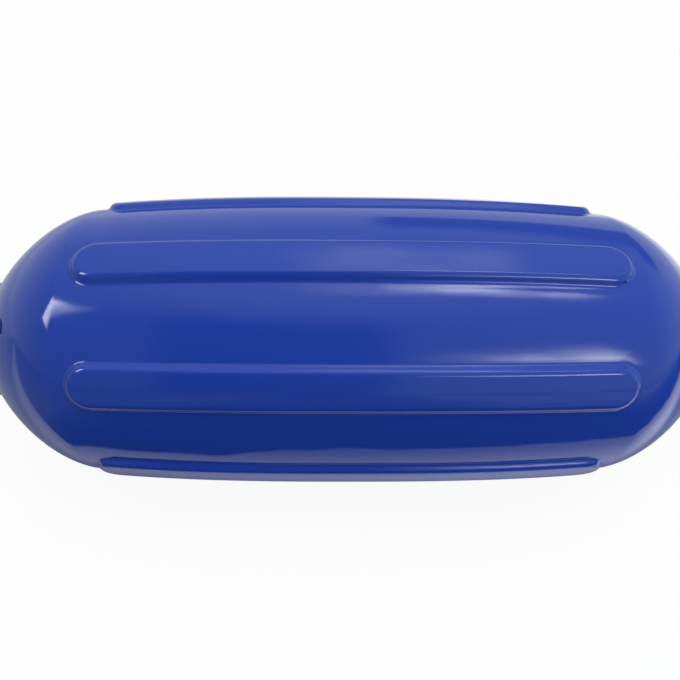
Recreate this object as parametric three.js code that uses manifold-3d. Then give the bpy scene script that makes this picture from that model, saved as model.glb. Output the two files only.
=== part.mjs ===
import * as THREE from 'three';
import { mergeVertices } from 'three/addons/utils/BufferGeometryUtils.js';
import Module from 'manifold-3d';

const wasm = await Module();
wasm.setup();

// A ribbed twin-eye boat fender, in millimetres. It lies along X on level ground, and +Z is up.

// Barrel and domed ends.
const overallLength = 686;
const bodyRadius = 108;
const barrelFall = 6.5;
const barrelPower = 2.6;
const domeLength = 92.9;
const domePower = 1.7;
const barrelSteps = 6;
const domeSteps = 9;
const fieldSteps = 4;

// Raised ribs, evenly spaced, with one on each side of the line that the fender rests on.
const ribCount = 8;
const ribHeight = 4.4;
const ribCrestWidth = 25.4;
const ribFlare = 2.6;
const ribEndMargin = 10.4;
const ribEndSteps = 5;
const crestSteps = 4;

// Collars and rope eyes.
const collarRadius = 45;
const collarPastDome = 5.7;
const collarRound = 5;
const collarEdgeSteps = 3;
const eyeReach = 56;
const eyeRadius = 30;
const eyeThickness = 28;
const eyeRootHalfWidth = 38;
const eyeRound = 5;
const eyeRoundSteps = 3;
const eyeHoleRadius = 11;
const eyeSteps = 16;

// Inflation valve in the left dome, halfway between two ribs.
const valveAxisDistance = 77;
const valveRadius = 5.6;
const valveProud = 1;
const valveLength = 10;
const valveEdge = 0.6;
const valveHoleRadius = 3.5;
const valveHoleDepth = 6;
const valveSteps = 32;
const seatGap = 0.3;

const ribPitch = 2 * Math.PI / ribCount;
const crestHalf = ribCrestWidth / 2;
const rootHalf = crestHalf + ribFlare;
const collarEndX = overallLength / 2 - eyeReach;
const shoulderX = collarEndX - collarPastDome - domeLength;
const ribStraight = shoulderX - ribEndMargin - crestHalf;
const eyeCentreX = overallLength / 2 - eyeRadius;

function solid(geometry) {
  const bare = geometry.clone();
  bare.deleteAttribute('normal');
  bare.deleteAttribute('uv');
  const welded = mergeVertices(bare, 1e-4);
  const triVerts = [];
  for (let i = 0; i < welded.index.count; i += 3) {
    const [a, b, c] = welded.index.array.slice(i, i + 3);
    if (a !== b && b !== c && c !== a) triVerts.push(a, b, c);
  }
  return new wasm.Manifold(new wasm.Mesh({
    numProp: 3,
    vertProperties: new Float32Array(welded.attributes.position.array),
    triVerts: new Uint32Array(triVerts),
  }));
}

function surface(manifold) {
  const mesh = manifold.getMesh();
  const geometry = new THREE.BufferGeometry();
  geometry.setAttribute('position', new THREE.BufferAttribute(new Float32Array(mesh.vertProperties), 3));
  geometry.setIndex(new THREE.BufferAttribute(new Uint32Array(mesh.triVerts), 1));
  const faceted = geometry.toNonIndexed();
  faceted.computeVertexNormals();
  return faceted;
}

// The body's radius at a distance from mid length, without the rounding of the dome.
function barrelRadius(x) {
  return bodyRadius - barrelFall * Math.pow(Math.abs(x) / shoulderX, barrelPower);
}

// A point of the right dome. The turn runs from 0 at the shoulder to a right angle at the tip.
function domePoint(turn) {
  const x = shoulderX + domeLength * Math.pow(Math.sin(turn), 2 / domePower);
  return { x, r: barrelRadius(x) * Math.pow(Math.max(Math.cos(turn), 0), 2 / domePower) };
}

// The dome's turn at which its radius has come down to this one.
function domeTurn(radius) {
  let low = 0;
  let high = Math.PI / 2;
  for (let i = 0; i < 40; i += 1) {
    const middle = (low + high) / 2;
    if (domePoint(middle).r > radius) low = middle;
    else high = middle;
  }
  return low;
}

// The right half's rings from mid length to the collar's end, as x and the plain radius there.
function halfRings() {
  const rings = [];
  for (let i = 0; i <= barrelSteps; i += 1) {
    rings.push(ribStraight * i / barrelSteps);
  }
  for (let i = 1; i <= ribEndSteps; i += 1) {
    rings.push(ribStraight + crestHalf * Math.sin(Math.PI / 2 * i / ribEndSteps));
  }
  rings.push(ribStraight + (crestHalf + 2 * rootHalf) / 3, ribStraight + rootHalf, shoulderX);
  const barrel = rings.map((x) => ({ x, r: barrelRadius(x) }));
  const dome = [];
  for (let i = 1; i <= domeSteps; i += 1) {
    dome.push(domePoint(domeTurn(collarRadius) * i / domeSteps));
  }
  const collar = [];
  for (let i = 0; i <= collarEdgeSteps; i += 1) {
    const turn = Math.PI / 2 * i / collarEdgeSteps;
    const x = collarEndX - collarRound * (1 - Math.sin(turn));
    collar.push({ x, r: collarRadius - collarRound * (1 - Math.cos(turn)) });
  }
  return [...barrel, ...dome, ...collar, { x: collarEndX, r: 0 }];
}

// One ring's points across a rib and the plain field beside it, as turns about X and radii.
// The rib narrows to nothing at its round end, and past it the same points lie on the plain dome.
function sector({ x, r }) {
  const past = Math.max(Math.abs(x) - ribStraight, 0);
  const ended = past > rootHalf;
  const lift = ended ? 0 : ribHeight * Math.min((rootHalf - past) / ribFlare, 1);
  const halfAcross = (endRadius) => Math.sqrt(Math.max(endRadius ** 2 - past ** 2, 0));
  const crest = ended ? crestHalf / bodyRadius : halfAcross(crestHalf) / (r + lift);
  const root = ended ? rootHalf / bodyRadius : halfAcross(rootHalf) / r;
  const points = [{ turn: -root, r }];
  for (let i = 0; i <= crestSteps; i += 1) {
    points.push({ turn: crest * (2 * i / crestSteps - 1), r: r + lift });
  }
  for (let i = 0; i < fieldSteps; i += 1) {
    points.push({ turn: root + (ribPitch - 2 * root) * i / fieldSteps, r });
  }
  return points;
}

// The whole air vessel with its ribs and collars, as one closed surface.
function vesselGeometry() {
  const half = halfRings();
  const rings = [...half.slice(1).map((p) => ({ x: -p.x, r: p.r })).reverse(), ...half];
  const positions = [];
  for (const ring of rings) {
    const points = sector(ring);
    for (let k = 0; k < ribCount; k += 1) {
      for (const { turn, r } of points) {
        const angle = ribPitch * (k + 0.5) + turn;
        positions.push(ring.x, r * Math.sin(angle), r * Math.cos(angle));
      }
    }
  }
  const around = ribCount * (crestSteps + fieldSteps + 2);
  const index = [];
  for (let i = 0; i + 1 < rings.length; i += 1) {
    for (let j = 0; j < around; j += 1) {
      const a = i * around + j;
      const b = i * around + (j + 1) % around;
      index.push(a, b + around, b, a, a + around, b + around);
    }
  }
  const geometry = new THREE.BufferGeometry();
  geometry.setAttribute('position', new THREE.Float32BufferAttribute(positions, 3));
  geometry.setIndex(index);
  return geometry;
}

// The flat eye: straight flanks from the collar run into the round end, and the rope hole goes through.
function eyeGeometry() {
  const rootX = collarEndX - 2 * collarRound;
  const reach = Math.hypot(eyeCentreX - rootX, eyeRootHalfWidth);
  const rootTurn = Math.atan2(eyeRootHalfWidth, rootX - eyeCentreX);
  const start = rootTurn - Math.acos(eyeRadius / reach);
  const outline = new THREE.Shape();
  outline.moveTo(rootX, -eyeRootHalfWidth);
  for (let i = 0; i <= eyeSteps; i += 1) {
    const turn = start * (2 * i / eyeSteps - 1);
    outline.lineTo(eyeCentreX + eyeRadius * Math.cos(turn), eyeRadius * Math.sin(turn));
  }
  outline.lineTo(rootX, eyeRootHalfWidth);
  outline.closePath();
  const hole = new THREE.Path();
  hole.absarc(eyeCentreX, 0, eyeHoleRadius, 0, 2 * Math.PI, true);
  outline.holes.push(hole);
  const geometry = new THREE.ExtrudeGeometry(outline, {
    depth: eyeThickness - 2 * eyeRound,
    bevelThickness: eyeRound,
    bevelSize: eyeRound,
    bevelOffset: -eyeRound,
    bevelSegments: eyeRoundSteps,
    curveSegments: eyeSteps,
  });
  return geometry.translate(0, 0, eyeRound - eyeThickness / 2);
}

// Where the valve sits: its point on the left dome and the way that it faces.
function valveSeat() {
  const turn = domeTurn(valveAxisDistance);
  const here = domePoint(turn);
  const next = domePoint(turn + 0.01);
  const facing = new THREE.Vector2(here.r - next.r, next.x - here.x).normalize();
  const out = new THREE.Vector3(0, -Math.cos(ribPitch), Math.sin(ribPitch));
  return {
    point: out.clone().multiplyScalar(here.r).setX(-here.x),
    normal: out.clone().multiplyScalar(facing.y).setX(-facing.x),
  };
}

function seated(geometry) {
  const seat = valveSeat();
  const turn = new THREE.Quaternion().setFromUnitVectors(new THREE.Vector3(0, 1, 0), seat.normal);
  return geometry.applyQuaternion(turn).translate(seat.point.x, seat.point.y, seat.point.z);
}

// The valve bush, turned about its own axis, with its rim proud of the dome and a blind needle hole.
function valveGeometry() {
  const top = valveProud;
  const profile = [
    [0, top - valveLength],
    [valveRadius, top - valveLength],
    [valveRadius, top - valveEdge],
    [valveRadius - valveEdge, top],
    [valveHoleRadius + valveEdge, top],
    [valveHoleRadius, top - valveEdge],
    [valveHoleRadius, top - valveHoleDepth],
    [0, top - valveHoleDepth],
  ].map(([r, y]) => new THREE.Vector2(r, y));
  return seated(new THREE.LatheGeometry(profile, valveSteps));
}

function pocketGeometry() {
  const depth = valveLength - valveProud + seatGap;
  const above = 2 * valveRadius;
  const pocket = new THREE.CylinderGeometry(
    valveRadius + seatGap, valveRadius + seatGap, depth + above, valveSteps);
  return seated(pocket.translate(0, (above - depth) / 2, 0));
}

function named(name, geometry, color, roughness) {
  const material = new THREE.MeshStandardMaterial({ color, roughness, metalness: 0 });
  material.name = name;
  const mesh = new THREE.Mesh(geometry, material);
  mesh.name = name;
  return mesh;
}

const body = solid(vesselGeometry())
  .add(solid(eyeGeometry()))
  .add(solid(eyeGeometry().rotateZ(Math.PI)))
  .subtract(solid(pocketGeometry()));

const bodySurface = surface(body);
bodySurface.computeBoundingBox();
const restHeight = -bodySurface.boundingBox.min.z;

const part = new THREE.Group();
part.name = 'boat_fender';
part.add(named('fender_body', bodySurface.translate(0, 0, restHeight), 0x2a4da6, 0.28));
part.add(named('inflation_valve', valveGeometry().translate(0, 0, restHeight), 0x25459a, 0.35));

export default part;
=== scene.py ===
"""A ribbed twin-eye boat fender, dressed over its solids and set in a plain studio."""

import math

import bmesh
import bpy
from mathutils import Matrix, Vector


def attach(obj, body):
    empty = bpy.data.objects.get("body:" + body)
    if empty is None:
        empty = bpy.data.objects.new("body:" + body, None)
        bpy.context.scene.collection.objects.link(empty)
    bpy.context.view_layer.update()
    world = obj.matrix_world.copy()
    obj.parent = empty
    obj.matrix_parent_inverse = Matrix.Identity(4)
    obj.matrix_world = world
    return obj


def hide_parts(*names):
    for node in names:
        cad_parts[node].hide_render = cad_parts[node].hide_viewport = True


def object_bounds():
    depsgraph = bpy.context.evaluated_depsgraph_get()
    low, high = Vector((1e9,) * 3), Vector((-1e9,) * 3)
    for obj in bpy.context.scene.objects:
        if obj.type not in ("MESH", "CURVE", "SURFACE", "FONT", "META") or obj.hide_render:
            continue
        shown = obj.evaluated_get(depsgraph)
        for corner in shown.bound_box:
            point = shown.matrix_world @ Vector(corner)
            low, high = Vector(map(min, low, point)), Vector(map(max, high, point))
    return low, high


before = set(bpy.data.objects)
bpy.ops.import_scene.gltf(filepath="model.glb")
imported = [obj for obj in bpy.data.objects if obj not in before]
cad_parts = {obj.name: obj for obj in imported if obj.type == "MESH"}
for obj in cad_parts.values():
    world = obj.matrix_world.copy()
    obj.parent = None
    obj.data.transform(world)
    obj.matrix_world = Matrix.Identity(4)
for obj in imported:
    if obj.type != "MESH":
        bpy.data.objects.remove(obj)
CAD_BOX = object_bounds()

bl_info = {
    "name": "Boat fender",
    "version": (1, 0, 0),
    "blender": (4, 5, 0),
    "location": "3D View > Sidebar > Fender",
    "description": "Models a ribbed twin-eye boat fender, its inflation valve and a plain studio",
    "category": "Object",
}

CAD_SIZE = [high - low for low, high in zip(*CAD_BOX)]
AXIS_HEIGHT = CAD_SIZE[2] / 2

# Points closer than this, in metres, count as one.
NEAR = 1e-6

# How often the span that holds a point of the dome is halved to find it.
HALVINGS = 40

# The dome's turn between the valve's place and the point that shows which way the dome faces there.
FACING_STEP = 0.01

# How many steps a full turn of the rope holes has, and one of the valve and its pocket.
ROPE_HOLE_STEPS = 64
VALVE_STEPS = 48

# Faces of the valve that meet at more than this turn, in radians, make a rim.
RIM_TURN = 1.0

# The moulded skin: the depth of its bumps in metres, the scale of its grain, and how far its gloss varies.
SKIN = "Moulded skin"
SKIN_DEPTH = 0.002
SKIN_GRAIN_SIZE = 1500.0
GLOSS_SPREAD = 0.2

# Half the width of the table and the floor past it, in metres.
FLOOR_HALF = 12.0

# Half the width over which the table's edge goes over into the floor, in metres.
EDGE_BLUR = 0.006

# Where the table's edge and the floor change, in metres from mid length along X, or from the axis along Y.
EDGE_STEP_X = (-0.12, -0.04)
FAR_LEFT_X = (-0.50, -0.22)
FAR_RIGHT_X = (0.2, 0.6)
FAR_FLOOR_Y = (-1.1, -0.2)

# The table's own light, a painted glow seen only by reflection. It starts at the first level, and each row
# that follows gives a span in metres and the level past it: bright before the fender, dark under it as
# painted shadow, bright behind it.
TABLE_LIGHT_Y = (0.9, (-0.17, -0.125, 1.7), (-0.110, -0.065, 0.0), (0.05, 0.40, 0.9))
TABLE_LIGHT_X = (0.60, (-0.25, 0.20, 0.95), (0.22, 0.38, 2.2))

# Where the room's light changes, as shares of a direction.
ROOM_SIDES_X = (-0.4, 0.5)
ROOM_DEPTH_Y = (-0.7, 0.7)
ROOM_CEILING_Z = (0.72, 0.97)

# Parts of the room, as the axis and the span over which each border rises or falls, with its two levels.
CAMERA_PATCH = (
    ("X", -0.46, -0.32, 0.0, 1.0),
    ("X", 0.02, 0.22, 1.0, 0.0),
    ("Y", -0.45, -0.20, 1.0, 0.0),
    ("Z", 0.66, 0.92, 1.0, 0.0),
)
BAND_BEHIND = (
    ("X", 0.03, 0.13, 0.0, 1.0),
    ("Y", 0.25, 0.45, 0.0, 1.0),
    ("Z", 0.38, 0.42, 0.0, 1.0),
    ("Z", 0.52, 0.74, 1.0, 0.0),
)

# The part of the noise that the clouds in a lamp are made from.
CLOUD_SPAN = (0.35, 0.62)

# The camera's film width in millimetres and the width of its frame in pixels.
FILM_WIDTH = 36.0
FRAME_WIDTH = 680


def length(name, description, value):
    """A size in metres that a user can change."""
    return bpy.props.FloatProperty(
        name=name, description=description, default=value, min=0.0, unit="LENGTH", precision=5
    )


def amount(name, description, value, high=1.0):
    """A plain number from nought upwards."""
    return bpy.props.FloatProperty(
        name=name, description=description, default=value, min=0.0, max=high
    )


def colour(name, description, value):
    """A colour without its alpha."""
    return bpy.props.FloatVectorProperty(
        name=name, description=description, default=value, size=3, min=0.0, max=1.0, subtype="COLOR"
    )


class FenderSizes(bpy.types.PropertyGroup):
    """The sizes of the moulding and of its valve."""

    overall_length: length("Overall length", "From the tip of one eye to the other", CAD_SIZE[0])
    body_radius: length("Body radius", "Largest radius, at mid length", 0.108)
    shoulder: length("Shoulder", "From mid length to where the dome starts", 0.1884)
    barrel_fall: length("Barrel fall", "How much the radius falls to the shoulder", 0.0065)
    barrel_power: amount("Barrel power", "How late the barrel curves in", 2.6, 6.0)
    dome_length: length("Dome length", "From the shoulder to where the dome would close", 0.0929)
    dome_power: amount("Dome power", "How full the dome is", 1.7, 6.0)
    rib_count: bpy.props.IntProperty(
        name="Ribs", description="Ribs around the body", default=8, min=3, max=24
    )
    rib_height: length("Rib height", "How far a rib stands out", 0.0044)
    rib_width: length("Rib width", "Width of a rib's flat top", 0.0254)
    rib_flare: length("Rib flare", "How much wider a rib is at its root, each side", 0.0032)
    rib_half_length: length("Rib half length", "From mid length to the end of a rib's top", 0.178)
    rib_edge: length("Rib edge", "Rounding of a rib's top", 0.0024)
    rib_root_edge: length("Rib root", "Rounding where a rib meets the body", 0.0016)
    collar_radius: length("Collar radius", "Radius of the collar that carries the eye", 0.045)
    collar_end: length("Collar end", "From mid length to the collar's end", 0.287)
    collar_edge: length("Collar edge", "Rounding of the collar's end", 0.005)
    collar_root: length("Collar root", "Rounding between the dome and the collar", 0.003)
    eye_radius: length("Eye radius", "Radius of the eye's round end", 0.030)
    eye_thickness: length("Eye thickness", "Thickness of the flat eye", 0.028)
    eye_root: length("Eye root", "Half the eye's width where it leaves the collar", 0.038)
    eye_edge: length("Eye edge", "Rounding of the eye's rims", 0.005)
    eye_hole: length("Eye hole", "Radius of the rope hole", 0.011)
    valve_distance: length("Valve distance", "From the fender's axis to the valve", 0.077)
    valve_radius: length("Valve radius", "Radius of the valve bush", 0.0056)
    valve_length: length("Valve length", "Length of the valve bush", 0.010)
    valve_proud: length("Valve rim", "How far the valve's rim stands out of the dome", 0.001)
    valve_edge: length("Valve edge", "Rounding of the valve's rims", 0.0005)
    valve_hole: length("Valve hole", "Radius of the needle hole", 0.0035)
    valve_depth: length("Valve depth", "Depth of the needle hole", 0.006)
    valve_gap: length("Valve gap", "Gap between the valve and its pocket", 0.0003)


class FenderFinish(bpy.types.PropertyGroup):
    """The colours and gloss of the vinyl."""

    vinyl: colour("Vinyl", "Colour of the moulding", (0.0115, 0.053, 0.427))
    vinyl_deep: colour("Deep vinyl", "Colour of the moulding where it is worn", (0.0105, 0.049, 0.402))
    valve: colour("Valve", "Colour of the valve bush", (0.010, 0.040, 0.30))
    roughness: amount("Roughness", "How soft the gloss is", 0.075)
    unevenness: amount("Unevenness", "How wavy the moulded skin is", 0.16)


class FenderStage(bpy.types.PropertyGroup):
    """The studio and the camera."""

    table: colour("Table", "Colour of the pale table top", (0.80, 0.80, 0.80))
    # The table's own light is a painted glow, seen only by reflection, with painted shadow under the
    # fender.
    table_light: amount("Table light", "How much of the table's own light is seen by reflection", 0.4)
    beyond: amount("Beyond", "Grey of the floor just past the table, seen only by reflection", 0.06)
    far_floor: amount("Far floor", "Grey of the floor in front, further away", 0.22)
    far_right: amount("Far floor, right", "Grey of the floor in front and to the right", 0.6)
    far_left: amount("Far floor, left", "Grey of the floor to the left", 0.34)
    table_edge: length("Table edge", "From the fender's axis to the table's front edge", 0.180)
    edge_left: length("Table edge, left", "The same, in front of the left end", 0.147)
    edge_waves: length("Table edge waves", "How far the table's edge wanders", 0.05)
    shadow: amount("Shadow", "How much of the shadow the white table keeps", 0.07)
    room_front: amount("Room in front", "Brightness of the room on the camera's side", 0.37, 5.0)
    room_right: amount("Room in front, right", "Its brightness to the right", 0.76, 5.0)
    room_back: amount("Room behind", "Brightness of the room behind the fender", 0.82, 5.0)
    room_top: amount("Room overhead", "Brightness of the ceiling", 1.05, 5.0)
    room_tint: colour("Room tint", "Colour of the room's light", (0.93, 1.0, 1.0))
    room_dim: amount("Dim patch", "How much of the room's light is left where the camera stands", 0.36)
    ceiling: amount("Ceiling light", "Brightness of the wide ceiling light", 1.3, 50.0)
    strip: amount("Strip light", "Brightness of the strip along its front edge", 9.5, 50.0)
    front_window: amount("Front window", "Brightness of the window in front, to the right", 13.0, 50.0)
    left_window: amount("Left window", "Brightness of the window to the left", 13.0, 50.0)
    dark_band: amount("Dark band", "Share of the light kept low behind the fender, to the right", 0.3)
    focal: amount("Focal length", "Lens, in pixels for a frame 680 wide", 532.6, 4000.0)
    distance: length("Distance", "From the camera to the fender's axis", 0.4329)
    aside: bpy.props.FloatProperty(
        name="Aside", description="The camera's place along the fender", default=-0.01445, unit="LENGTH"
    )
    elevation: bpy.props.FloatProperty(
        name="Elevation", description="How far above level the camera stands",
        default=math.radians(39.274), subtype="ANGLE",
    )
    pan: bpy.props.FloatProperty(
        name="Pan", description="Turn of the camera to its right",
        default=math.radians(0.9066), subtype="ANGLE",
    )
    roll: bpy.props.FloatProperty(
        name="Roll", description="Turn of the camera about its view",
        default=math.radians(-0.2151), subtype="ANGLE",
    )


# Shapes.


def barrel_radius(s, x):
    """The moulding's radius at a distance from mid length, without the dome's rounding."""
    return s.body_radius - s.barrel_fall * (abs(x) / s.shoulder) ** s.barrel_power


def dome_point(s, turn):
    """A point of the dome, as its distance from mid length and its radius."""
    x = s.shoulder + s.dome_length * math.sin(turn) ** (2 / s.dome_power)
    return x, barrel_radius(s, x) * max(math.cos(turn), 0.0) ** (2 / s.dome_power)


def dome_turn(s, radius):
    """The dome's turn at which its radius has come down to this one."""
    low, high = 0.0, math.pi / 2
    for _ in range(HALVINGS):
        middle = (low + high) / 2
        if dome_point(s, middle)[1] > radius:
            low = middle
        else:
            high = middle
    return low


def rib_pitch(s):
    """The turn from one rib to the next."""
    return 2 * math.pi / s.rib_count


def rounded(bm, edges, radius, segments):
    """Rounds these edges."""
    bmesh.ops.bevel(
        bm, geom=edges, offset=radius, offset_type="OFFSET", segments=segments, profile=0.5,
        affect="EDGES", clamp_overlap=True, material=-1,
    )


def stadium(straight, end_radius, end_steps, side_cuts):
    """A ring of edges with straight sides along X and round ends of an even number of steps."""
    bm = bmesh.new()
    count = 2 * end_steps + 2
    bmesh.ops.create_circle(
        bm, cap_ends=False, radius=end_radius, segments=count, matrix=Matrix.Rotation(math.pi / 2, 4, "Z")
    )
    for v in bm.verts:
        # Each half of the circle is spread out to a full half turn.
        turn = math.asin(max(-1.0, min(1.0, v.co.y / end_radius))) / (1 - 2 / count)
        past = straight + end_radius * math.cos(turn)
        v.co = Vector((math.copysign(past, v.co.x), end_radius * math.sin(turn), 0))
    sides = sorted(bm.edges, key=lambda e: -e.calc_length())[:2]
    bmesh.ops.subdivide_edges(bm, edges=sides, cuts=side_cuts)
    return bm


def gridded_top(s, bm, crest, straight, strips=8):
    """Cuts the rib's flat top, which is still one face, into a grid that can bend with the body."""
    flat_top = max(bm.faces, key=lambda f: f.calc_center_median().z)
    stations = sorted({round(v.co.x, 7) for v in flat_top.verts if abs(v.co.x) < straight - NEAR})
    cuts = [((x, 0, 0), (1, 0, 0)) for x in [*stations, -straight, straight]]
    cuts += [((0, crest * (2 * k / strips - 1), 0), (0, 1, 0)) for k in range(1, strips)]
    for point, normal in cuts:
        faces = [f for f in bm.faces if f.calc_center_median().z > s.rib_height - NEAR]
        edges = {e for f in faces for e in f.edges}
        verts = {v for f in faces for v in f.verts}
        bmesh.ops.bisect_plane(
            bm, geom=[*verts, *edges, *faces], dist=NEAR, plane_co=point, plane_no=normal
        )


def rib_sector(s, end_steps=24, side_cuts=39, field_cuts=10):
    """One rib and the field around it, laid out flat: X along, Y across and Z out of the body."""
    crest = s.rib_width / 2
    root = crest + s.rib_flare
    straight = s.rib_half_length - crest
    half_pitch = s.body_radius * rib_pitch(s) / 2
    bm = stadium(straight, root, end_steps, side_cuts)
    made = bmesh.ops.extrude_edge_only(bm, edges=bm.edges[:])["geom"]
    border = {g for g in made if isinstance(g, bmesh.types.BMVert)}
    for v in border:
        past = abs(v.co.x) - straight
        if past > -NEAR:
            v.co.y = half_pitch * math.atan2(v.co.y, past) / (math.pi / 2)
            v.co.x = math.copysign(s.shoulder, v.co.x)
        else:
            v.co.y = math.copysign(half_pitch, v.co.y)
            v.co.x *= s.shoulder / straight
    root_edges = [e for e in bm.edges if not any(v in border for v in e.verts)]
    top = bmesh.ops.contextual_create(bm, geom=root_edges)["faces"]
    bmesh.ops.recalc_face_normals(bm, faces=bm.faces[:])
    if top[0].normal.z < 0:
        bmesh.ops.reverse_faces(bm, faces=bm.faces[:])
    bmesh.ops.inset_region(bm, faces=top, thickness=s.rib_flare, depth=s.rib_height, use_even_offset=True)
    rounded(bm, list(top[0].edges), s.rib_edge, segments=5)
    rounded(bm, [e for e in root_edges if e.is_valid], s.rib_root_edge, segments=3)
    spokes = [e for e in bm.edges if sum(v.is_boundary for v in e.verts) == 1]
    bmesh.ops.subdivide_edges(bm, edges=spokes, cuts=field_cuts, use_grid_fill=True)
    gridded_top(s, bm, crest, straight)
    return bm


def wrap_sector(s, bm):
    """Lays the flat sector onto the barrel, with its rib straight up."""
    root = s.rib_width / 2 + s.rib_flare
    half_pitch = s.body_radius * rib_pitch(s) / 2
    for v in bm.verts:
        x, y, lift = v.co
        r = barrel_radius(s, x)
        inner = root / r
        across = abs(y)
        if across <= root:
            turn = across / r
        else:
            turn = inner + (rib_pitch(s) / 2 - inner) * (across - root) / (half_pitch - root)
        turn = math.copysign(turn, y)
        v.co = Vector((x, (r + lift) * math.sin(turn), (r + lift) * math.cos(turn)))


def drawn_out(bm, edges, x, r):
    """Extrudes a round border to a new distance and radius, and returns its new edges."""
    made = bmesh.ops.extrude_edge_only(bm, edges=edges)["geom"]
    verts = [g for g in made if isinstance(g, bmesh.types.BMVert)]
    old = math.hypot(verts[0].co.y, verts[0].co.z)
    bmesh.ops.scale(bm, vec=(1, r / old, r / old), verts=verts)
    bmesh.ops.translate(bm, vec=(x - verts[0].co.x, 0, 0), verts=verts)
    return [g for g in made if isinstance(g, bmesh.types.BMEdge) and all(v in verts for v in g.verts)]


def collar_band(s):
    """Where the collar's last band starts, from mid length. The eye has its root there, inside it."""
    return s.collar_end - 2 * s.collar_edge


def vessel(s, dome_steps=36):
    """The air vessel: barrel, ribs, domes and collars, lying along X about its own axis."""
    bm = rib_sector(s)
    wrap_sector(s, bm)
    pitch = rib_pitch(s)
    bmesh.ops.rotate(bm, verts=bm.verts[:], cent=(0, 0, 0), matrix=Matrix.Rotation(pitch / 2, 3, "X"))
    bmesh.ops.spin(
        bm, geom=bm.verts[:] + bm.edges[:] + bm.faces[:], cent=(0, 0, 0), axis=(1, 0, 0),
        angle=pitch * (s.rib_count - 1), steps=s.rib_count - 1, use_duplicate=True,
    )
    bmesh.ops.remove_doubles(bm, verts=bm.verts[:], dist=NEAR)
    last = dome_turn(s, s.collar_radius)
    for side in (-1, 1):
        border = [e for e in bm.edges if e.is_boundary and e.verts[0].co.x * side > 0]
        # The ring before the last is left out, so that the rounding at the collar's root has room.
        for i in [*range(1, dome_steps - 1), dome_steps]:
            x, r = dome_point(s, last * i / dome_steps)
            border = drawn_out(bm, border, side * x, r)
        crease = border
        for x in (collar_band(s), s.collar_end):
            border = drawn_out(bm, border, side * x, s.collar_radius)
        bmesh.ops.contextual_create(bm, geom=border)
        bmesh.ops.recalc_face_normals(bm, faces=bm.faces[:])
        rounded(bm, border, s.collar_edge, segments=6)
        rounded(bm, crease, s.collar_root, segments=4)
    bmesh.ops.recalc_face_normals(bm, faces=bm.faces[:])
    return bm


def eye(s, side, steps=48):
    """One flat eye without its rope hole, its rims rounded."""
    centre = s.overall_length / 2 - s.eye_radius
    start = collar_band(s)
    reach = math.hypot(centre - start, s.eye_root)
    touch = math.atan2(s.eye_root, start - centre) - math.acos(s.eye_radius / reach)
    bm = bmesh.new()
    bmesh.ops.create_circle(bm, cap_ends=True, radius=s.eye_radius, segments=steps)

    def turn(v):
        return abs(math.atan2(v.co.y, v.co.x))

    # Past where the flanks touch the circle, its points become the flanks' four ends, and the rest go.
    flank = sorted((v for v in bm.verts if turn(v) > touch), key=turn)
    for v in flank[:2]:
        v.co = Vector((math.cos(touch), math.copysign(math.sin(touch), v.co.y), 0)) * s.eye_radius
    for v in flank[2:4]:
        v.co = Vector((start - centre, math.copysign(s.eye_root, v.co.y), 0))
    bmesh.ops.dissolve_verts(bm, verts=flank[4:])
    bmesh.ops.translate(bm, verts=bm.verts[:], vec=(centre, 0, -s.eye_thickness / 2))
    made = bmesh.ops.extrude_face_region(bm, geom=bm.faces[:])["geom"]
    top = [g for g in made if isinstance(g, bmesh.types.BMVert)]
    bmesh.ops.translate(bm, verts=top, vec=(0, 0, s.eye_thickness))
    bmesh.ops.recalc_face_normals(bm, faces=bm.faces[:])
    rims = [
        e for e in bm.edges
        if abs(e.verts[0].co.z - e.verts[1].co.z) < NEAR and max(v.co.x for v in e.verts) > start + NEAR
    ]
    rounded(bm, rims, s.eye_edge, segments=6)
    if side < 0:
        bmesh.ops.rotate(bm, verts=bm.verts[:], cent=(0, 0, 0), matrix=Matrix.Rotation(math.pi, 3, "Z"))
    return bm


def rope_hole(s, side, flare_steps=6):
    """The space of one rope hole, flared at both ends so that its rims are rounded."""
    half = s.eye_thickness / 2
    wide = s.eye_hole + s.eye_edge
    flare = [math.pi / 2 * i / flare_steps for i in range(flare_steps + 1)]
    rim = [(wide - s.eye_edge * math.cos(t), half - s.eye_edge * (1 - math.sin(t))) for t in flare]
    upper = rim + [(wide, half + s.eye_edge), (0, half + s.eye_edge)]
    bm = turned_piece([(r, -z) for r, z in reversed(upper)] + upper, ROPE_HOLE_STEPS)
    centre = s.overall_length / 2 - s.eye_radius
    bmesh.ops.translate(bm, verts=bm.verts[:], vec=(side * centre, 0, 0))
    return bm


def valve_seat(s):
    """The valve's place: it faces out of the left dome, halfway between two ribs."""
    turn = dome_turn(s, s.valve_distance)
    x, r = dome_point(s, turn)
    further, less = dome_point(s, turn + FACING_STEP)
    facing = Vector((r - less, further - x)).normalized()
    pitch = rib_pitch(s)
    out = Vector((0, -math.cos(pitch), math.sin(pitch)))
    normal = out * facing.y
    normal.x = -facing.x
    place = out * r
    place.x = -x
    turned = Vector((0, 0, 1)).rotation_difference(normal).to_matrix().to_4x4()
    return Matrix.Translation(place) @ turned


def turned_piece(profile, steps):
    """A closed piece turned about Z from points of radius and height that start and end on it."""
    bm = bmesh.new()
    verts = [bm.verts.new((r, 0, z)) for r, z in profile]
    edges = [bm.edges.new(pair) for pair in zip(verts, verts[1:])]
    bmesh.ops.spin(
        bm, geom=verts + edges, cent=(0, 0, 0), axis=(0, 0, 1), angle=2 * math.pi, steps=steps,
        use_merge=True,
    )
    bmesh.ops.remove_doubles(bm, verts=bm.verts[:], dist=NEAR)
    bmesh.ops.recalc_face_normals(bm, faces=bm.faces[:])
    return bm


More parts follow.
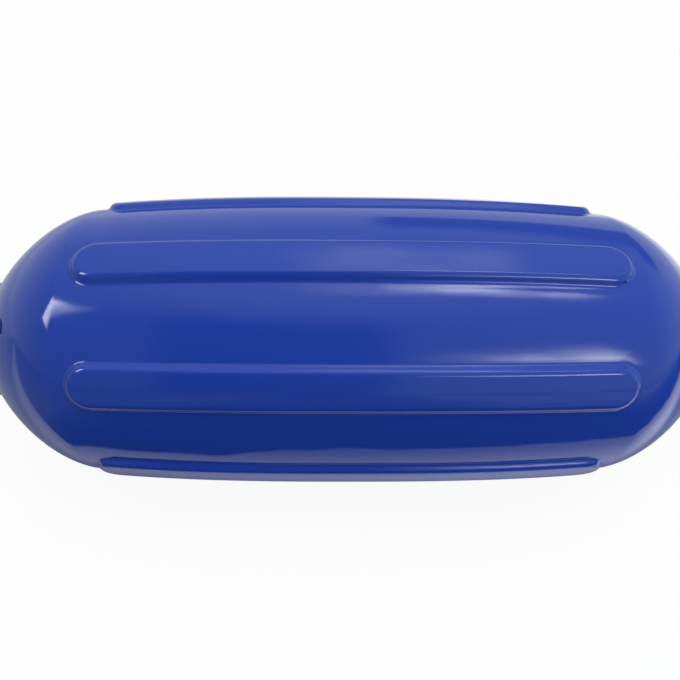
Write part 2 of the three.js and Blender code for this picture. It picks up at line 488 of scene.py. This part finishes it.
def valve_pocket(s):
    """The space that the valve is pressed into, as high above the dome as it is deep."""
    depth = s.valve_length - s.valve_proud + s.valve_gap
    width = s.valve_radius + s.valve_gap
    bm = turned_piece([(0, -depth), (width, -depth), (width, depth), (0, depth)], VALVE_STEPS)
    bmesh.ops.transform(bm, matrix=valve_seat(s), verts=bm.verts[:])
    return bm


def valve_bush(s):
    """The valve: a bush with a blind needle hole and rounded rims."""
    top = s.valve_proud
    bottom = top - s.valve_length
    hole_bottom = top - s.valve_depth
    bm = turned_piece([
        (0, bottom), (s.valve_radius, bottom), (s.valve_radius, top),
        (s.valve_hole, top), (s.valve_hole, hole_bottom), (0, hole_bottom),
    ], VALVE_STEPS)
    rims = [
        e for e in bm.edges
        if all(abs(v.co.z - top) < NEAR for v in e.verts) and e.calc_face_angle(0.0) > RIM_TURN
    ]
    rounded(bm, rims, s.valve_edge, segments=4)
    bmesh.ops.transform(bm, matrix=valve_seat(s), verts=bm.verts[:])
    return bm


def plain_object(name, bm):
    """A linked object at the origin that takes over this mesh."""
    mesh = bpy.data.meshes.new(name)
    bm.to_mesh(mesh)
    bm.free()
    made = bpy.data.objects.new(name, mesh)
    bpy.context.scene.collection.objects.link(made)
    return made


def joined(base, other, operation):
    """Cuts or joins the other object into the base and removes the other."""
    step = base.modifiers.new(operation.title(), "BOOLEAN")
    step.operation = operation
    step.solver = "MANIFOLD"
    step.object = other
    seen = base.evaluated_get(bpy.context.evaluated_depsgraph_get())
    result = bpy.data.meshes.new_from_object(seen)
    base.modifiers.clear()
    base.data = result
    bpy.data.objects.remove(other)


def finished(piece, material, node):
    """Gives a piece its material and its smooth shading, and sets it in the frame."""
    piece.data.materials.clear()
    piece.data.materials.append(material)
    for face in piece.data.polygons:
        face.use_smooth = True
    even = piece.modifiers.new("Even normals", "WEIGHTED_NORMAL")
    even.mode = "FACE_AREA"
    even.weight = 50
    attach(piece, "root")
    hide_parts(node)


# Finishes and light.


def skin_group():
    """A node group for moulded vinyl: a slow waviness, a fine grain and a cloudy mask."""
    group = bpy.data.node_groups.new(SKIN, "ShaderNodeTree")
    face = group.interface
    for name, low, high, value in (
        ("Wave size", 0.0, 200.0, 14.0),
        ("Grain size", 0.0, 4000.0, 900.0),
        ("Grain", 0.0, 1.0, 0.1),
    ):
        socket = face.new_socket(name=name, in_out="INPUT", socket_type="NodeSocketFloat")
        socket.min_value, socket.max_value, socket.default_value = low, high, value
    face.new_socket(name="Height", in_out="OUTPUT", socket_type="NodeSocketFloat")
    face.new_socket(name="Cloud", in_out="OUTPUT", socket_type="NodeSocketFloat")
    nodes, links = group.nodes, group.links
    given = nodes.new("NodeGroupInput")
    sent = nodes.new("NodeGroupOutput")
    place = nodes.new("ShaderNodeTexCoord")
    wave = nodes.new("ShaderNodeTexNoise")
    wave.inputs["Detail"].default_value = 2.0
    grain = nodes.new("ShaderNodeTexNoise")
    grain.inputs["Detail"].default_value = 1.0
    cloud = nodes.new("ShaderNodeTexNoise")
    cloud.inputs["Scale"].default_value = 9.0
    cloud.inputs["Detail"].default_value = 4.0
    for texture in (wave, grain, cloud):
        links.new(place.outputs["Object"], texture.inputs["Vector"])
    links.new(given.outputs["Wave size"], wave.inputs["Scale"])
    links.new(given.outputs["Grain size"], grain.inputs["Scale"])
    mix = nodes.new("ShaderNodeMath")
    mix.operation = "MULTIPLY_ADD"
    links.new(grain.outputs["Fac"], mix.inputs[0])
    links.new(given.outputs["Grain"], mix.inputs[1])
    links.new(wave.outputs["Fac"], mix.inputs[2])
    links.new(mix.outputs[0], sent.inputs["Height"])
    links.new(cloud.outputs["Fac"], sent.inputs["Cloud"])
    return group


def vinyl_material(name, light, deep, roughness, unevenness, wave, grain):
    """Glossy moulded vinyl that is a little uneven in colour, gloss and surface."""
    material = bpy.data.materials.new(name)
    material.use_nodes = True
    nodes, links = material.node_tree.nodes, material.node_tree.links
    shader = nodes["Principled BSDF"]
    shader.inputs["IOR"].default_value = 1.45
    shader.inputs["Metallic"].default_value = 0.0
    skin = nodes.new("ShaderNodeGroup")
    skin.node_tree = bpy.data.node_groups.get(SKIN) or skin_group()
    skin.inputs["Wave size"].default_value = wave
    skin.inputs["Grain size"].default_value = SKIN_GRAIN_SIZE
    skin.inputs["Grain"].default_value = grain
    tint = nodes.new("ShaderNodeMix")
    tint.data_type = "RGBA"
    tint.inputs["A"].default_value = (*deep, 1)
    tint.inputs["B"].default_value = (*light, 1)
    links.new(skin.outputs["Cloud"], tint.inputs["Factor"])
    links.new(tint.outputs["Result"], shader.inputs["Base Color"])
    gloss = nodes.new("ShaderNodeMapRange")
    gloss.inputs["To Min"].default_value = roughness * (1 - GLOSS_SPREAD)
    gloss.inputs["To Max"].default_value = roughness * (1 + GLOSS_SPREAD)
    links.new(skin.outputs["Cloud"], gloss.inputs["Value"])
    links.new(gloss.outputs["Result"], shader.inputs["Roughness"])
    bump = nodes.new("ShaderNodeBump")
    bump.inputs["Strength"].default_value = unevenness
    bump.inputs["Distance"].default_value = SKIN_DEPTH
    links.new(skin.outputs["Height"], bump.inputs["Height"])
    links.new(bump.outputs["Normal"], shader.inputs["Normal"])
    return material


def blend(nodes, links, factor, first, second):
    """A shader that goes from the first to the second with this factor."""
    mix = nodes.new("ShaderNodeMixShader")
    if isinstance(factor, float):
        mix.inputs["Fac"].default_value = factor
    else:
        links.new(factor, mix.inputs["Fac"])
    links.new(first, mix.inputs[1])
    links.new(second, mix.inputs[2])
    return mix.outputs[0]


def matt(nodes, value):
    """A plain matt shader of this colour."""
    shader = nodes.new("ShaderNodeBsdfDiffuse")
    shader.inputs["Color"].default_value = (*value, 1)
    return shader.outputs[0]


def ranged(nodes, links, value, start, end, low, high):
    """A value that goes smoothly from low to high while the given one goes from start to end."""
    made = nodes.new("ShaderNodeMapRange")
    made.interpolation_type = "SMOOTHSTEP"
    links.new(value, made.inputs["Value"])
    for name, given in (("From Min", start), ("From Max", end), ("To Min", low), ("To Max", high)):
        if isinstance(given, float):
            made.inputs[name].default_value = given
        else:
            links.new(given, made.inputs[name])
    return made.outputs["Result"]


def product(nodes, links, *values):
    """These values multiplied together."""
    total = values[0]
    for value in values[1:]:
        step = nodes.new("ShaderNodeMath")
        step.operation = "MULTIPLY"
        links.new(total, step.inputs[0])
        links.new(value, step.inputs[1])
        total = step.outputs[0]
    return total


def stepped(nodes, links, value, first, *steps):
    """A value that starts at the first level and goes on to the level of each span in turn."""
    level = first
    for start, end, following in steps:
        level = ranged(nodes, links, value, start, end, level, following)
    return level


def bordered(nodes, links, direction, borders):
    """A mask over directions that is one inside all of these borders and fades to nought across them."""
    return product(nodes, links, *(
        ranged(nodes, links, direction.outputs[axis], start, end, low, high)
        for axis, start, end, low, high in borders
    ))


def table_material(stage):
    """A pale table top, white to the camera but for its shadow, that ends in front of the fender."""
    material = bpy.data.materials.new("Pale table")
    material.use_nodes = True
    nodes, links = material.node_tree.nodes, material.node_tree.links
    nodes.clear()
    glow = nodes.new("ShaderNodeEmission")
    glow.inputs["Strength"].default_value = 1.0
    white = blend(nodes, links, stage.shadow, glow.outputs[0], matt(nodes, (1, 1, 1)))
    place = nodes.new("ShaderNodeTexCoord")
    split = nodes.new("ShaderNodeSeparateXYZ")
    links.new(place.outputs["Object"], split.inputs[0])
    # The table's edge wanders a little, as its reflection in a moulded skin does.
    wander = nodes.new("ShaderNodeTexNoise")
    wander.inputs["Scale"].default_value = 9.0
    wander.inputs["Detail"].default_value = 3.0
    links.new(place.outputs["Object"], wander.inputs["Vector"])
    shifted = nodes.new("ShaderNodeMath")
    shifted.operation = "MULTIPLY_ADD"
    links.new(wander.outputs["Fac"], shifted.inputs[0])
    shifted.inputs[1].default_value = stage.edge_waves
    links.new(split.outputs["Y"], shifted.inputs[2])
    x, y = split.outputs["X"], split.outputs["Y"]
    edge = ranged(nodes, links, x, *EDGE_STEP_X, -stage.edge_left, -stage.table_edge)
    past = nodes.new("ShaderNodeMath")
    past.operation = "SUBTRACT"
    links.new(shifted.outputs[0], past.inputs[0])
    links.new(edge, past.inputs[1])
    middle = stage.edge_waves / 2
    front = ranged(nodes, links, past.outputs[0], middle - EDGE_BLUR, middle + EDGE_BLUR, 1.0, 0.0)
    far = ranged(nodes, links, x, *FAR_RIGHT_X, stage.far_floor, stage.far_right)
    ahead = ranged(nodes, links, y, *FAR_FLOOR_Y, far, stage.beyond)
    floor = nodes.new("ShaderNodeBsdfDiffuse")
    links.new(ranged(nodes, links, x, *FAR_LEFT_X, stage.far_left, ahead), floor.inputs["Color"])
    # A painted glow of the table, seen only by reflection, darkened under the fender as painted shadow.
    own = nodes.new("ShaderNodeEmission")
    across = stepped(nodes, links, y, *TABLE_LIGHT_Y)
    along = stepped(nodes, links, x, *TABLE_LIGHT_X)
    links.new(product(nodes, links, across, along), own.inputs["Strength"])
    top = blend(nodes, links, stage.table_light, matt(nodes, stage.table), own.outputs[0])
    lit = blend(nodes, links, front, top, floor.outputs[0])
    path = nodes.new("ShaderNodeLightPath")
    look = blend(nodes, links, path.outputs["Is Camera Ray"], lit, white)
    out = nodes.new("ShaderNodeOutputMaterial")
    links.new(look, out.inputs["Surface"])
    return material


def room_world(stage):
    """Light from all around, dim where the camera stands, that the camera sees as plain white."""
    world = bpy.data.worlds.new("Room")
    world.use_nodes = True
    nodes, links = world.node_tree.nodes, world.node_tree.links
    nodes.clear()
    place = nodes.new("ShaderNodeTexCoord")
    split = nodes.new("ShaderNodeSeparateXYZ")
    links.new(place.outputs["Generated"], split.inputs[0])
    front = ranged(nodes, links, split.outputs["X"], *ROOM_SIDES_X, stage.room_front, stage.room_right)
    around = ranged(nodes, links, split.outputs["Y"], *ROOM_DEPTH_Y, front, stage.room_back)
    whole = ranged(nodes, links, split.outputs["Z"], *ROOM_CEILING_Z, around, stage.room_top)
    patch = bordered(nodes, links, split, CAMERA_PATCH)
    dim = ranged(nodes, links, patch, 0.0, 1.0, 1.0, stage.room_dim)
    behind = bordered(nodes, links, split, BAND_BEHIND)
    band = ranged(nodes, links, behind, 0.0, 1.0, 1.0, stage.dark_band)
    room = nodes.new("ShaderNodeBackground")
    room.inputs["Color"].default_value = (*stage.room_tint, 1)
    links.new(product(nodes, links, whole, dim, band), room.inputs["Strength"])
    white = nodes.new("ShaderNodeBackground")
    white.inputs["Color"].default_value = (1, 1, 1, 1)
    white.inputs["Strength"].default_value = 1.0
    path = nodes.new("ShaderNodeLightPath")
    out = nodes.new("ShaderNodeOutputWorld")
    look = blend(nodes, links, path.outputs["Is Camera Ray"], room.outputs[0], white.outputs[0])
    links.new(look, out.inputs["Surface"])
    return world


def window_glow(light, fade_across, fade_up, steepness, clouds):
    """Makes a lamp fade over these shares of its width and height at each border, with soft clouds."""
    light.use_nodes = True
    nodes, links = light.node_tree.nodes, light.node_tree.links
    glow = nodes["Emission"]
    place = nodes.new("ShaderNodeNewGeometry")
    split = nodes.new("ShaderNodeSeparateXYZ")
    links.new(place.outputs["Parametric"], split.inputs[0])
    shares = {}
    for axis, (low, high) in (("X", fade_across), ("Y", fade_up)):
        rise = ranged(nodes, links, split.outputs[axis], 0.0, low, 0.0, 1.0)
        fall = ranged(nodes, links, split.outputs[axis], 1.0 - high, 1.0, 1.0, 0.0)
        shares[axis] = product(nodes, links, rise, fall)
    steep = nodes.new("ShaderNodeMath")
    steep.operation = "POWER"
    steep.inputs[1].default_value = steepness
    links.new(shares["Y"], steep.inputs[0])
    cloud = nodes.new("ShaderNodeTexNoise")
    cloud.inputs["Scale"].default_value = 4.0
    cloud.inputs["Detail"].default_value = 4.0
    links.new(place.outputs["Parametric"], cloud.inputs["Vector"])
    cloudy = ranged(nodes, links, cloud.outputs["Fac"], *CLOUD_SPAN, 1.0 - clouds, 1.0)
    links.new(product(nodes, links, shares["X"], steep.outputs[0], cloudy), glow.inputs["Strength"])


# What the panel's buttons do.


class FENDER_OT_body(bpy.types.Operator):
    """Model the moulded body: barrel, ribs, domes, collars and eyes"""

    bl_idname = "fender.body"
    bl_label = "Moulded body"

    def execute(self, context):
        s = context.scene.fender_sizes
        finish = context.scene.fender_finish
        body = plain_object("moulded_body", vessel(s))
        for side in (-1, 1):
            joined(body, plain_object("eye", eye(s, side)), "UNION")
            joined(body, plain_object("rope_hole", rope_hole(s, side)), "DIFFERENCE")
        joined(body, plain_object("pocket", valve_pocket(s)), "DIFFERENCE")
        body.data.transform(Matrix.Translation((0, 0, AXIS_HEIGHT)))
        material = vinyl_material(
            "Blue vinyl", finish.vinyl, finish.vinyl_deep, finish.roughness, finish.unevenness,
            wave=17.0, grain=0.02,
        )
        finished(body, material, "fender_body")
        return {"FINISHED"}


class FENDER_OT_valve(bpy.types.Operator):
    """Model the inflation valve in the left dome"""

    bl_idname = "fender.valve"
    bl_label = "Inflation valve"

    def execute(self, context):
        s = context.scene.fender_sizes
        finish = context.scene.fender_finish
        valve = plain_object("valve_bush", valve_bush(s))
        valve.data.transform(Matrix.Translation((0, 0, AXIS_HEIGHT)))
        material = vinyl_material(
            "Valve vinyl", finish.valve, finish.valve, roughness=0.3, unevenness=0.05, wave=60.0, grain=0.05
        )
        finished(valve, material, "inflation_valve")
        return {"FINISHED"}


class FENDER_OT_stage(bpy.types.Operator):
    """Set up the table, the soft light and the camera"""

    bl_idname = "fender.stage"
    bl_label = "Studio and camera"

    def execute(self, context):
        stage = context.scene.fender_stage
        scene = context.scene
        bm = bmesh.new()
        bmesh.ops.create_grid(bm, x_segments=1, y_segments=1, size=FLOOR_HALF)
        floor = plain_object("table", bm)
        floor.data.materials.append(table_material(stage))
        scene.world = room_world(stage)
        self.lamp(
            "Ceiling light", stage.ceiling, size=(1.75, 2.2), place=(0.455, 0.20, 2.70),
            aim=(0.455, 0.20, 0.0), fade_across=(0.3, 0.25), fade_up=(0.1, 0.3), steepness=1.0, clouds=0.45,
        )
        self.lamp(
            "Strip light", stage.strip, size=(1.8, 0.40), place=(1.02, -0.68, 2.60),
            aim=(1.02, -0.68, 0.0), turn=-7.0, fade_across=(0.22, 0.30), fade_up=(0.95, 0.03),
            steepness=1.7, clouds=0.6,
        )
        self.lamp(
            "Front window", stage.front_window, size=(1.92, 1.12), place=(1.195, -2.477, 1.42),
            aim=(0.185, -0.067, 0.17), fade_across=(0.85, 0.12), fade_up=(0.03, 0.95),
            steepness=1.9, clouds=0.4,
        )
        self.lamp(
            "Left window", stage.left_window, size=(0.80, 1.15), place=(-2.18, -1.07, 2.08),
            aim=(-0.19, -0.07, 0.18), fade_across=(0.06, 0.70), fade_up=(0.1, 0.12),
            steepness=1.1, clouds=0.3, gleam_only=True,
        )
        self.camera(scene, stage)
        scene.view_settings.view_transform = "Standard"
        return {"FINISHED"}

    def lamp(
        self, name, brightness, size, place, aim, fade_across, fade_up, steepness, clouds,
        turn=0.0, gleam_only=False,
    ):
        """Adds a soft rectangular light that faces a point, turned about its beam by some degrees."""
        light = bpy.data.lights.new(name, "AREA")
        light.shape = "RECTANGLE"
        light.size, light.size_y = size
        light.energy = brightness * math.pi * size[0] * size[1]
        made = bpy.data.objects.new(name, light)
        bpy.context.scene.collection.objects.link(made)
        made.location = place
        facing = Vector(aim) - Vector(place)
        made.rotation_euler = facing.to_track_quat("-Z", "Y").to_euler()
        made.rotation_euler.rotate_axis("Z", math.radians(turn))
        window_glow(light, fade_across, fade_up, steepness, clouds)
        # A gleam shows in the gloss, and doesn't light the colour.
        made.visible_diffuse = not gleam_only

    def camera(self, scene, stage):
        """The camera at the photograph's viewing angle."""
        data = bpy.data.cameras.new("Camera")
        data.sensor_width = FILM_WIDTH
        data.lens = FILM_WIDTH * stage.focal / FRAME_WIDTH
        data.clip_start = 0.01
        made = bpy.data.objects.new("Camera", data)
        scene.collection.objects.link(made)
        # Level with the axis first: right, up and ahead, then raised about the fender's axis.
        ahead = Vector((math.sin(stage.pan), math.cos(stage.pan), 0))
        right = Vector((math.cos(stage.pan), -math.sin(stage.pan), 0))
        up = Vector((0, 0, 1))
        c, s = math.cos(stage.roll), math.sin(stage.roll)
        right, up = right * c - up * s, right * s + up * c
        basis = Matrix((right, up, -ahead)).transposed().to_4x4()
        level = Matrix.Translation((stage.aside, -stage.distance, 0)) @ basis
        raised = Matrix.Rotation(-stage.elevation, 4, "X")
        made.matrix_world = Matrix.Translation((0, 0, AXIS_HEIGHT)) @ raised @ level
        scene.camera = made


class FENDER_PT_panel(bpy.types.Panel):
    """The fender's pieces and its studio"""

    bl_idname = "FENDER_PT_panel"
    bl_label = "Boat fender"
    bl_space_type = "VIEW_3D"
    bl_region_type = "UI"
    bl_category = "Fender"

    def draw(self, context):
        layout = self.layout
        for piece in PIECES:
            layout.operator(piece.bl_idname)
        for group in ("fender_sizes", "fender_finish", "fender_stage"):
            values = getattr(context.scene, group)
            box = layout.box()
            for name in values.__annotations__:
                box.prop(values, name)


PIECES = (FENDER_OT_body, FENDER_OT_valve, FENDER_OT_stage)
CLASSES = (FenderSizes, FenderFinish, FenderStage, *PIECES, FENDER_PT_panel)


def register():
    """Registers the classes and their settings."""
    for cls in CLASSES:
        bpy.utils.register_class(cls)
    bpy.types.Scene.fender_sizes = bpy.props.PointerProperty(type=FenderSizes)
    bpy.types.Scene.fender_finish = bpy.props.PointerProperty(type=FenderFinish)
    bpy.types.Scene.fender_stage = bpy.props.PointerProperty(type=FenderStage)


def unregister():
    """Takes the classes and their settings away again."""
    del bpy.types.Scene.fender_stage
    del bpy.types.Scene.fender_finish
    del bpy.types.Scene.fender_sizes
    for cls in reversed(CLASSES):
        bpy.utils.unregister_class(cls)


def main():
    """Models every piece in order."""
    register()
    bpy.ops.fender.body()
    bpy.ops.fender.valve()
    bpy.ops.fender.stage()
    bpy.context.view_layer.update()


if __name__ == "__main__":
    main()
